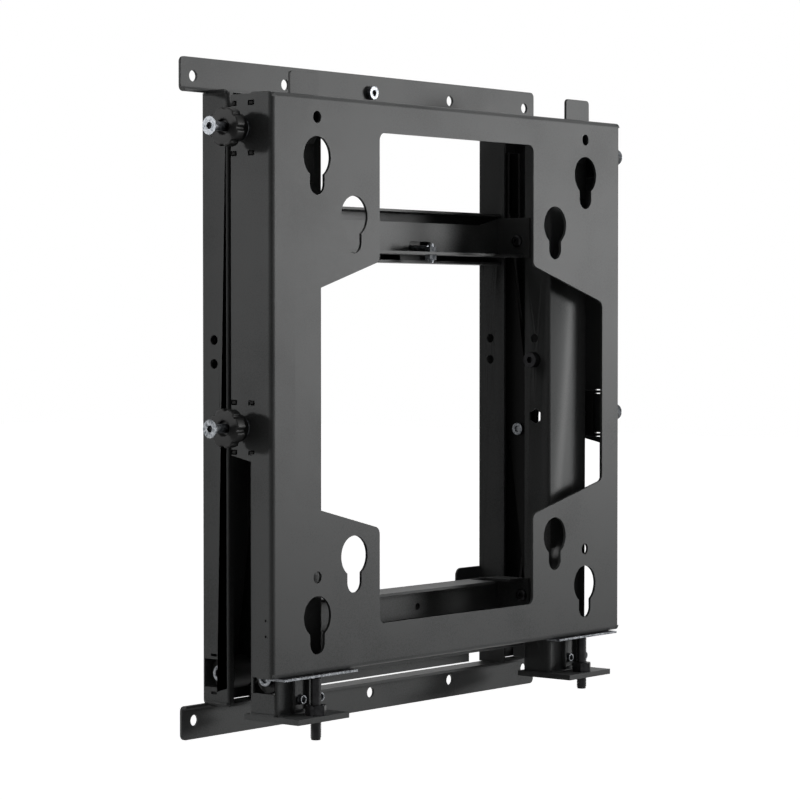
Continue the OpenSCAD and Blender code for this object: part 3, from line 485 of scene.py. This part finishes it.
# %% Side screws
corners = [height + "_" + side for height in ("upper", "lower") for side in ("left", "right")]
side_screws = [corner + "_side_screw" for corner in corners]
low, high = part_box(side_screws[1])
screw_long = (high.x - low.x) / MM
thread_radius = 4.0
tip_radius = 3.1
tip_long = 2.2
neck_radius = 3.6
head_radius = 8.0
head_long = 5.6
head_rim = 0.7
chamfer = 0.5
socket_across = 5.4
socket_deep = 3.6
shank = threaded(thread_radius, 1.0, screw_long - 5.0)
tip = soften(rod(tip_radius, 0, tip_long), 0.3)
head = rod(neck_radius, screw_long - head_long, screw_long - head_rim, 48, top=head_radius)
bpy.ops.object.mode_set(mode="EDIT")
pick("faces", lambda f: f.normal.z > 0.9)
bpy.ops.mesh.extrude_region_move(TRANSFORM_OT_translate={"value": (0, 0, head_rim * MM)})
bpy.ops.mesh.inset(thickness=chamfer * MM)
bpy.ops.object.mode_set(mode="OBJECT")
cut(head, hexagon_bar(socket_across, screw_long - socket_deep, screw_long + 1))
soften(head, 0.18, 1)
one_each(joined([shank, tip, head]), side_screws, outward, bright_zinc)
print("side screw", round(screw_long, 1), "mm long")

# %% [markdown]
# A star knob is moulded in one shot: a short neck, a round skirt, and a thick head that has eight
# broad lobes with narrow dents between them. It could be cut from a disc by eight round tools,
# which leaves sharp corners. Here it starts as a 32-sided drum instead. Three of every four side
# faces are pushed out to make the lobes, the front is inset, and a subdivision surface melts it
# all together, as the mould's radii do. Tight bevels first keep the rims from melting too far.

# %% Star knobs
knobs = [corner + "_knob" for corner in corners]
low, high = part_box(knobs[1])
knob_long = (high.x - low.x) / MM
knob_wide = (high.z - low.z) / MM
drum_radius = 15.0
lobe_reach = 2.2
lobe_turn = 360 / 8
skirt_radius = 12.4
skirt_low = 3.8
neck_radius = 7.4
neck_long = 5
recess_radius = 7.0
recess_deep = 3
m8_bore = 4.05
head_low = knob_long - 10.4
knob = rod(drum_radius, head_low, knob_long - 0.2, 32)
bpy.ops.object.mode_set(mode="EDIT")
pick("faces", lambda f: abs(f.normal.z) < 0.5 and turned_to(f) % lobe_turn < 0.75 * lobe_turn)
bpy.ops.mesh.extrude_region_shrink_fatten(
    TRANSFORM_OT_shrink_fatten={"value": lobe_reach * MM})
pick("edges", lambda e: e.calc_face_angle(0) > SHARP
     and abs(e.verts[0].co.z - e.verts[1].co.z) < DOUBLE)
bpy.ops.mesh.bevel(offset=1.1 * MM, segments=2)
pick("faces", lambda f: f.normal.z > 0.9 and f.calc_area() > 100 * MM * MM)
bpy.ops.mesh.inset(thickness=1.6 * MM)
bpy.ops.mesh.inset(thickness=2.2 * MM)
bpy.ops.transform.translate(value=(0, 0, 0.2 * MM))
bpy.ops.object.mode_set(mode="OBJECT")
apply(knob, "SUBSURF", levels=2, render_levels=2)
skirt = soften(rod(skirt_radius, skirt_low, head_low + 3, 64), 0.8, 3)
neck = soften(rod(neck_radius, 0, neck_long, 48), 0.4)
for part in (skirt, neck):
    cut(knob, part, "UNION")
cut(knob, rod(recess_radius, knob_long - recess_deep, knob_long + 2, 48))
cut(knob, rod(m8_bore, -1, knob_long + 2))
only(knob)
bpy.ops.object.shade_smooth_by_angle(angle=math.radians(35))
one_each(knob, knobs, outward, knob_nylon)
print("knob", round(knob_long, 1), "x", round(knob_wide, 1), "mm")

# %% [markdown]
# Hexagon nuts are turned before they are tapped, so their corners are chamfered to a circle. A
# bevel on the bar alone would also cut its flats. So the six-sided bar meets a drum with bevelled
# rims, and a bore is cut through what they share.


# %% Nuts
def hexagon_nut(across, low, high, bore):
    """A nut from low to high. One that a shank fills needs no bore."""
    nut = hexagon_bar(across, low, high)
    drum = rod(corner_radius(across) - 0.02, low, high, 64)
    bpy.ops.object.mode_set(mode="EDIT")
    pick("edges", lambda e: e.calc_face_angle(0) > SHARP)
    bpy.ops.mesh.bevel(offset_type="OFFSET", offset=0.055 * across * MM, segments=1)
    bpy.ops.object.mode_set(mode="OBJECT")
    cut(nut, drum, "INTERSECT")
    if bore:
        cut(nut, rod(bore, low - 1, high + 1))
    return soften(nut, 0.12, 1, 50)


m10_bore = 5.05
m6_bore = 3.0
m8_nut_across = 13.0
wide, deep, tall = first_size("jack_nuts")
fitted(hexagon_nut(deep, 0, tall, m10_bore), "jack_nuts", upward, black_zinc)
wide, deep, tall = first_size("striker_nuts")
fitted(hexagon_nut(deep, 0, tall, m6_bore), "striker_nuts", upward, bright_zinc)
wide, deep, tall = first_size("captive_nuts")
fitted(hexagon_nut(m8_nut_across, 0, wide, m8_bore), "captive_nuts", outward, bright_zinc)
print("captive nut", round(wide, 1), "mm thick")

# %% [markdown]
# The jack screws carry the whole screen. They are black M10 set screws with a hexagon socket in
# the lower end, and a smooth spigot that turns in the support plate. The two are not equally
# long, so each is made to the length of its own CAD node instead of being copied. The striker
# bolt is a thinner one, M6 with a pitch of 1 mm. All are made of one thread and two plain ends,
# because a thread that runs out into a smooth end is hard to model and too small to see.

# %% Jack screws and striker bolt
jack_radius = 5.0
foot_radius = 4.2
spigot_radius = 3.5
m10_pitch = 1.5
for node in ("left_jack_screw", "right_jack_screw"):
    low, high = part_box(node)
    jack_long = (high.z - low.z) / MM
    shank = threaded(jack_radius, 0.9, jack_long - 1.9, m10_pitch)
    foot = rod(foot_radius, 0, 3)
    cut(foot, hexagon_bar(5.0, -1, 2.6))
    soften(foot, 0.25, 1)
    spigot = soften(rod(spigot_radius, jack_long - 4, jack_long), 0.2, 1)
    one_each(joined([shank, foot, spigot]), [node], upward, black_zinc)
    print(node, round(jack_long, 1), "mm long")

low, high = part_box("striker_bolt")
striker_long = (high.z - low.z) / MM
striker_radius = 3.0
m6_pitch = 1.0
end_long = 1.5
shank = threaded(striker_radius, 0.6, striker_long - 0.6, m6_pitch)
plain_ends = [soften(rod(striker_radius - 0.5, start, start + end_long), 0.3, 1)
              for start in (0, striker_long - end_long)]
one_each(joined([shank] + plain_ends), ["striker_bolt"], upward, bright_zinc)
print("striker bolt", round(striker_long, 1), "mm long")

# %% [markdown]
# The bolts differ by their heads. Cap head bolts have a knurled drum, so that fingers can turn
# them, and the crossbars are held by low button heads that nothing can catch on. Both are M8 and
# have a hexagon socket and a flat nut at the back of the sheet. A knurl could be a bump in the
# shader, but it shows at the outline of the head, so every other side face is pushed out.


# %% Cap head bolts, button head bolts and lock screws
def bolt_with(head, head_long, long):
    """Joins a finished head to its plain shank and to the flat nut at the far end."""
    flat_nut = 2.6
    shank = rod(thread_radius - 0.1, head_long - 0.1, long - 1)
    nut = hexagon_nut(m8_nut_across, long - flat_nut, long, 0)
    return joined([head, shank, nut])


wide, deep, tall = first_size("upright_bolts")
cap_long = 8.0
knurl_turn = 10
knurl_high = 0.25
head = rod(tall / 2 - 0.3, 0, cap_long, 72)
bpy.ops.object.mode_set(mode="EDIT")
pick("faces", lambda f: abs(f.normal.z) < 0.5 and turned_to(f) % knurl_turn < knurl_turn / 2)
bpy.ops.mesh.extrude_region_shrink_fatten(
    TRANSFORM_OT_shrink_fatten={"value": knurl_high * MM})
bpy.ops.object.mode_set(mode="OBJECT")
cut(head, hexagon_bar(6.0, -1, 4))
soften(head, 0.12, 1, 50)
fitted(bolt_with(head, cap_long, wide), "upright_bolts", outward, black_zinc)

wide, deep, tall = first_size("crossbar_bolts")
button_long = 3.6
button_radius = 6.0
button_round = 2.4
head = rod(button_radius, 0, button_long, 48)
bpy.ops.object.mode_set(mode="EDIT")
pick("edges", lambda e: max(v.co.z for v in e.verts) < 0.1 * MM)
bpy.ops.mesh.bevel(offset=button_round * MM, segments=5)
bpy.ops.object.mode_set(mode="OBJECT")
cut(head, hexagon_bar(4.0, -1, 2.2))
soften(head, 0.12, 1, 50)
fitted(bolt_with(head, button_long, wide), "crossbar_bolts", outward, black_zinc)

wide, lock_long, tall = first_size("foot_lock_screws")
lock_radius = 4.5
ring_radius = 3.9
ring_long = 3.2
shank = threaded(lock_radius, 0.3, lock_long - 0.8, 1.5)
ring = rod(ring_radius, lock_long - ring_long, lock_long, 40)
bpy.ops.object.mode_set(mode="EDIT")
pick("faces", lambda f: f.normal.z > 0.9)
bpy.ops.mesh.inset(thickness=chamfer * MM)
bpy.ops.object.mode_set(mode="OBJECT")
cut(ring, hexagon_bar(5.0, lock_long - 2.8, lock_long + 1))
soften(ring, 0.3, 2, 50)
fitted(joined([shank, ring]), "foot_lock_screws", forward, bright_zinc)
print("lock screw", round(lock_long, 1), "mm long")

# %% [markdown]
# Real sheet is laser cut and then tumbled, so no edge is a knife edge: each one is broken by a
# few tenths of a millimetre and catches a thin line of light. The CAD pieces have sharp edges. A
# Bevel node in the shader could fake that light, but the outline would stay sharp. So a copy of
# each piece is merged into whole faces, the outer folds of the uprights get their radius, and a
# small bevel breaks the rest. The copy then takes the place of the CAD piece.


# %% Break the edges of the sheet steel and of the small turned pieces
def broken_edges(node, width, material, fold=None, fold_radius=2.6, segments=2):
    """A merged copy of a CAD node with broken edges. Fold says which edges are outer folds."""
    piece = bpy.data.objects.new(node + "_made", nodes[node].data.copy())
    bpy.context.collection.objects.link(piece)
    only(piece)
    bpy.ops.object.mode_set(mode="EDIT")
    bpy.ops.mesh.select_all(action="SELECT")
    bpy.ops.mesh.remove_doubles(threshold=DOUBLE)
    bpy.ops.mesh.dissolve_limited(angle_limit=math.radians(0.6))
    if fold:
        pick("edges", lambda e: e.calc_face_angle(0) > SQUARE and fold(e))
        bpy.ops.mesh.bevel(offset=fold_radius * MM, segments=5)
    bpy.ops.object.mode_set(mode="OBJECT")
    soften(piece, width, segments)
    stands_for(piece, node, material)


def standing_at(*corners):
    """A test for edges that run along Z at these distances to the side and in depth, in metres."""
    near = 0.02 * MM

    def test(edge):
        a, b = (v.co for v in edge.verts)
        upright = abs((b - a).normalized().z) >= 0.999
        return upright and any(abs(abs(a.x) - x) <= near and abs(a.y - y) <= near
                               for x, y in corners)
    return test


for side in ("left", "right"):
    low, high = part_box(side + "_carriage_channel")
    inner, outer = sorted((abs(low.x), abs(high.x)))
    broken_edges(side + "_carriage_channel", 0.4, black_coat,
                 standing_at((outer, low.y), (inner, low.y)), 3.0)
    low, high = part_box(side + "_wall_channel")
    inner, outer = sorted((abs(low.x), abs(high.x)))
    broken_edges(side + "_wall_channel", 0.5, black_coat,
                 standing_at((outer, 0), (inner, 0), (outer, low.y)))
    for node, width in (("guide_tab", 0.4), ("foot_plate", 0.5)):
        broken_edges(side + "_" + node, width, black_coat)
    # The arms inside the uprights get the coat with painted shade.
    for node in ("long_arm", "lift_arm"):
        broken_edges(side + "_" + node, 0.45, painted_shade_coat)
    broken_edges(side + "_support_plate", 0.3, bright_zinc)
    for node in ("front_roller", "wall_roller"):
        broken_edges(side + "_" + node, 1.2, roller_nylon, segments=3)
    for node in ("front_roller_shaft", "wall_roller_shaft", "centre_pivot"):
        broken_edges(side + "_" + node, 0.45, bright_zinc)
for node, width in (("top_wall_rail", 0.5), ("bottom_wall_rail", 0.5),
                    ("upper_wall_crossbar", 0.4), ("lower_wall_crossbar", 0.4),
                    ("upper_carriage_crossbar", 0.5), ("lower_carriage_crossbar", 0.5),
                    ("bottom_carriage_crossbar", 0.5), ("foot_brackets", 0.4),
                    ("front_plate", 0.3)):
    broken_edges(node, width, black_coat)
# The brackets inside the uprights get the coat with painted shade.
for node in ("wall_pivot_brackets", "carriage_pivot_brackets", "adjuster_brackets"):
    broken_edges(node, 0.3, painted_shade_coat)
for node, width in (("wall_pivot_pins", 0.5), ("carriage_pivot_pins", 0.5),
                    ("hanging_screw", 0.5), ("latch_plunger", 0.5), ("knob_washers", 0.3)):
    broken_edges(node, width, bright_zinc)
broken_edges("latch_case", 1.0, knob_nylon, segments=3)

# %% [markdown]
# The uprights are welded to the rails and to the foot plates. A weld is laid as a row of small
# puddles, each of which freezes over the one before. A bent tube would be too even, so a bead is
# a row of flattened drops a little over a millimetre apart, copied by an Array modifier. Paint
# fills the dips slightly, so the drops overlap by more than half.


# %% Weld beads
def bead(start, end, size=2.2):
    """A row of overlapping drops from one point to another, in millimetres."""
    drop_step = 1.25
    start, end = Vector(start), Vector(end)
    count = max(3, round((end - start).length / drop_step))
    bpy.ops.mesh.primitive_uv_sphere_add(segments=10, ring_count=7, radius=size * MM,
                                         location=start * MM)
    drop = bpy.context.object
    bpy.ops.object.mode_set(mode="EDIT")
    bpy.ops.mesh.select_all(action="SELECT")
    bpy.ops.transform.resize(value=(1.0, 1.0, 0.8))
    bpy.ops.object.mode_set(mode="OBJECT")
    bpy.ops.object.transform_apply(location=True, rotation=False, scale=True)
    apply(drop, "ARRAY", count=count, use_relative_offset=False, use_constant_offset=True,
          constant_offset_displace=(end - start) * MM / (count - 1))
    bpy.ops.object.shade_smooth()
    return drop


foot_plate_overhang = 5
beside_the_bracket = ((173, 187), (214, 227))
feet, walls = [], []
for side, sign in (("left", -1), ("right", 1)):
    low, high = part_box(side + "_carriage_channel")
    outer = max(abs(low.x), abs(high.x)) / MM
    front, foot = low.y / MM, low.z / MM
    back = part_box(side + "_foot_plate")[1].y / MM - foot_plate_overhang
    feet.append(bead((sign * outer, back - 1.5, foot), (sign * outer, front + 3, foot)))
    for start, end in beside_the_bracket:
        feet.append(bead((sign * start, front, foot), (sign * end, front, foot)))
    low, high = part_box(side + "_wall_channel")
    seam_x = sign * (outer - 1)
    for seam_z in (low.z / MM + 0.4, high.z / MM - 0.4):
        walls.append(bead((seam_x, -5, seam_z), (seam_x, low.y / MM + 3, seam_z), 2.6))
for made, name, body in ((feet, "foot_welds", "carriage"), (walls, "rail_welds", "wall_frame")):
    piece = joined(made)
    piece.name = name
    piece.data.materials.clear()
    piece.data.materials.append(black_coat)
    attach(piece, body)

# %% [markdown]
# The mount hangs on a wall, so the floor lies well below it. Both the floor and the background
# are white in the photograph. Strong light would make them white too, but it would also wash out
# the black steel. So they glow for the rays that see them directly, which are camera rays, glossy
# rays and transmitted rays, while the light that they give to the steel stays at a plain level.


# %% Floor and background
def seen_directly(owner):
    """A socket that is 1 for rays that look straight, in a mirror or through glass, else 0."""
    rays = add(owner, "ShaderNodeLightPath")
    direct = add(owner, "ShaderNodeMath", {"operation": "MAXIMUM"},
                 {0: rays.outputs["Is Camera Ray"], 1: rays.outputs["Is Glossy Ray"]})
    either = add(owner, "ShaderNodeMath", {"operation": "MAXIMUM"},
                 {0: direct.outputs["Value"], 1: rays.outputs["Is Transmission Ray"]})
    return either.outputs["Value"]


floor_wide = 30
floor_z = -0.75
bpy.ops.mesh.primitive_plane_add(size=floor_wide, location=(0, 0, floor_z))
floor = bpy.context.object
floor.name = "studio_floor"
paper = bpy.data.materials.new("white studio paper")
paper.use_nodes = True
paper_shader = paper.node_tree.nodes["Principled BSDF"]
paper_shader.inputs["Base Color"].default_value = linear("#f4f4f4")
paper_shader.inputs["Roughness"].default_value = 0.9
paper_shader.inputs["Emission Color"].default_value = (0.93, 0.93, 0.93, 1)
feed(paper, paper_shader, {"Emission Strength": seen_directly(paper)})
floor.data.materials.append(paper)

world = bpy.data.worlds.new("studio")
bpy.context.scene.world = world
world.use_nodes = True
background = world.node_tree.nodes["Background"]
background.inputs["Color"].default_value = (1, 1, 1, 1)
level = add(world, "ShaderNodeMapRange", {"To Min": 0.06, "To Max": 1.0},
            {"Value": seen_directly(world)})
feed(world, background, {"Strength": level.outputs["Result"]})
print("the world lights the steel at", round(level.inputs["To Min"].default_value, 2))

# %% [markdown]
# The photograph has a broad soft light at the right in front, which greys the front plate and what
# faces the front behind it. A bare lamp would cast hard shadows, so it is an area light.
# A narrow strip light with a grid stands behind the left shoulder of the mount and lights only
# the folded sides, so the insides stay dark. The bends between these two directions face neither
# light, so they are a little darker than the faces on both sides of them.


# %% Lights
def soft_light(name, place, target, size, power, spread):
    """A rectangular area light that looks at a target. A small spread acts as a grid."""
    bpy.ops.object.light_add(type="AREA", location=place)
    lamp = bpy.context.object
    lamp.name = name
    lamp.data.shape = "RECTANGLE"
    lamp.data.size, lamp.data.size_y = size
    lamp.data.energy = power
    lamp.data.spread = math.radians(spread)
    lamp.rotation_euler = (Vector(target) - Vector(place)).to_track_quat("-Z", "Y").to_euler()
    print(name, round((Vector(target) - Vector(place)).length, 1), "m away")


soft_light("right softbox", place=(2.3, -2.2, 0.3), target=(0.13, 0, 0.14), size=(1.4, 0.6),
           power=3.3, spread=27)
soft_light("left strip light", place=(-2.2, 1.7, 0.5), target=(-0.36, -0.02, 0.05),
           size=(0.25, 1.8), power=0.55, spread=9)

# %% [markdown]
# A camera could be placed by eye and nudged until the picture fits. This one was found by fitting
# a pinhole camera to the keyholes, whose 400 mm and 300 mm squares are known, which also gives
# the size of all other pieces. It stands 2.7 m away, to the left, and looks slightly down.

# %% Camera
tilt = math.radians(88.423)
heading = math.radians(-50.754)
bpy.ops.object.camera_add(location=(-2.0467, -1.7106, 0.0674), rotation=(tilt, 0, heading))
camera = bpy.context.object
camera.data.sensor_width = 36
camera.data.lens = 126.55
camera.data.clip_start = 0.1
bpy.context.scene.camera = camera
bpy.context.scene.view_settings.view_transform = "Standard"
print("lens", round(camera.data.lens, 2), "mm")
